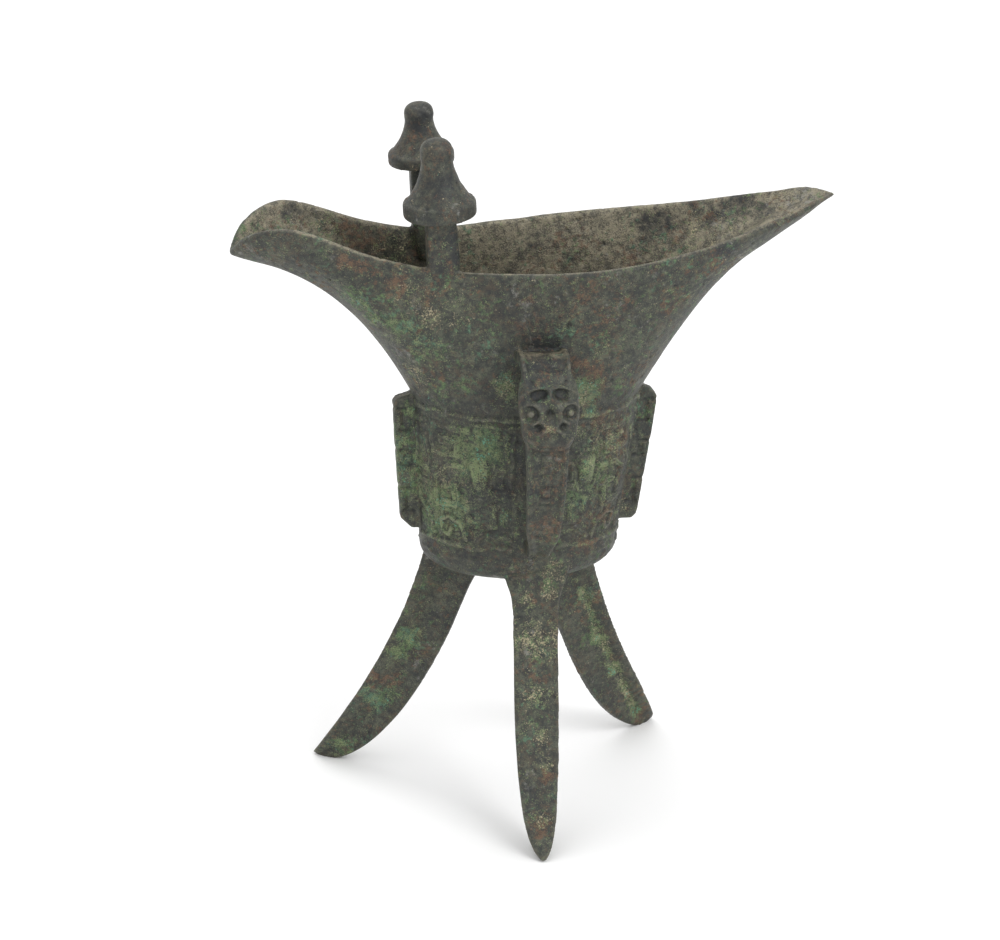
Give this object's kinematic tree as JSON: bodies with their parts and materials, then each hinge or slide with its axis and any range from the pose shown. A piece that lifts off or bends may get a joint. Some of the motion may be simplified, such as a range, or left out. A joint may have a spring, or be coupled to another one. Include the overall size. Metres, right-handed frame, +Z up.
{
  "type": "bronze jue wine cup",
  "caption": "Archaic bronze wine cup with a long open spout, a pointed tail, a beast-headed loop handle, upright flanges, capped posts on the rim and sabre-shaped legs.",
  "frame": {"origin": "on the floor, under the middle of the cup's box", "axes": "+Z up, spout toward -X, tail toward +X, handle and front leg toward -Y"},
  "size_m": [0.1694, 0.0912, 0.2004],
  "materials": {
    "patinated_bronze": "dark olive bronze with malachite green, red-brown and cream corrosion, rough and dull"
  },
  "bodies": {
    "root": {"bronze_jue": "patinated_bronze"}
  },
  "joints": []
}
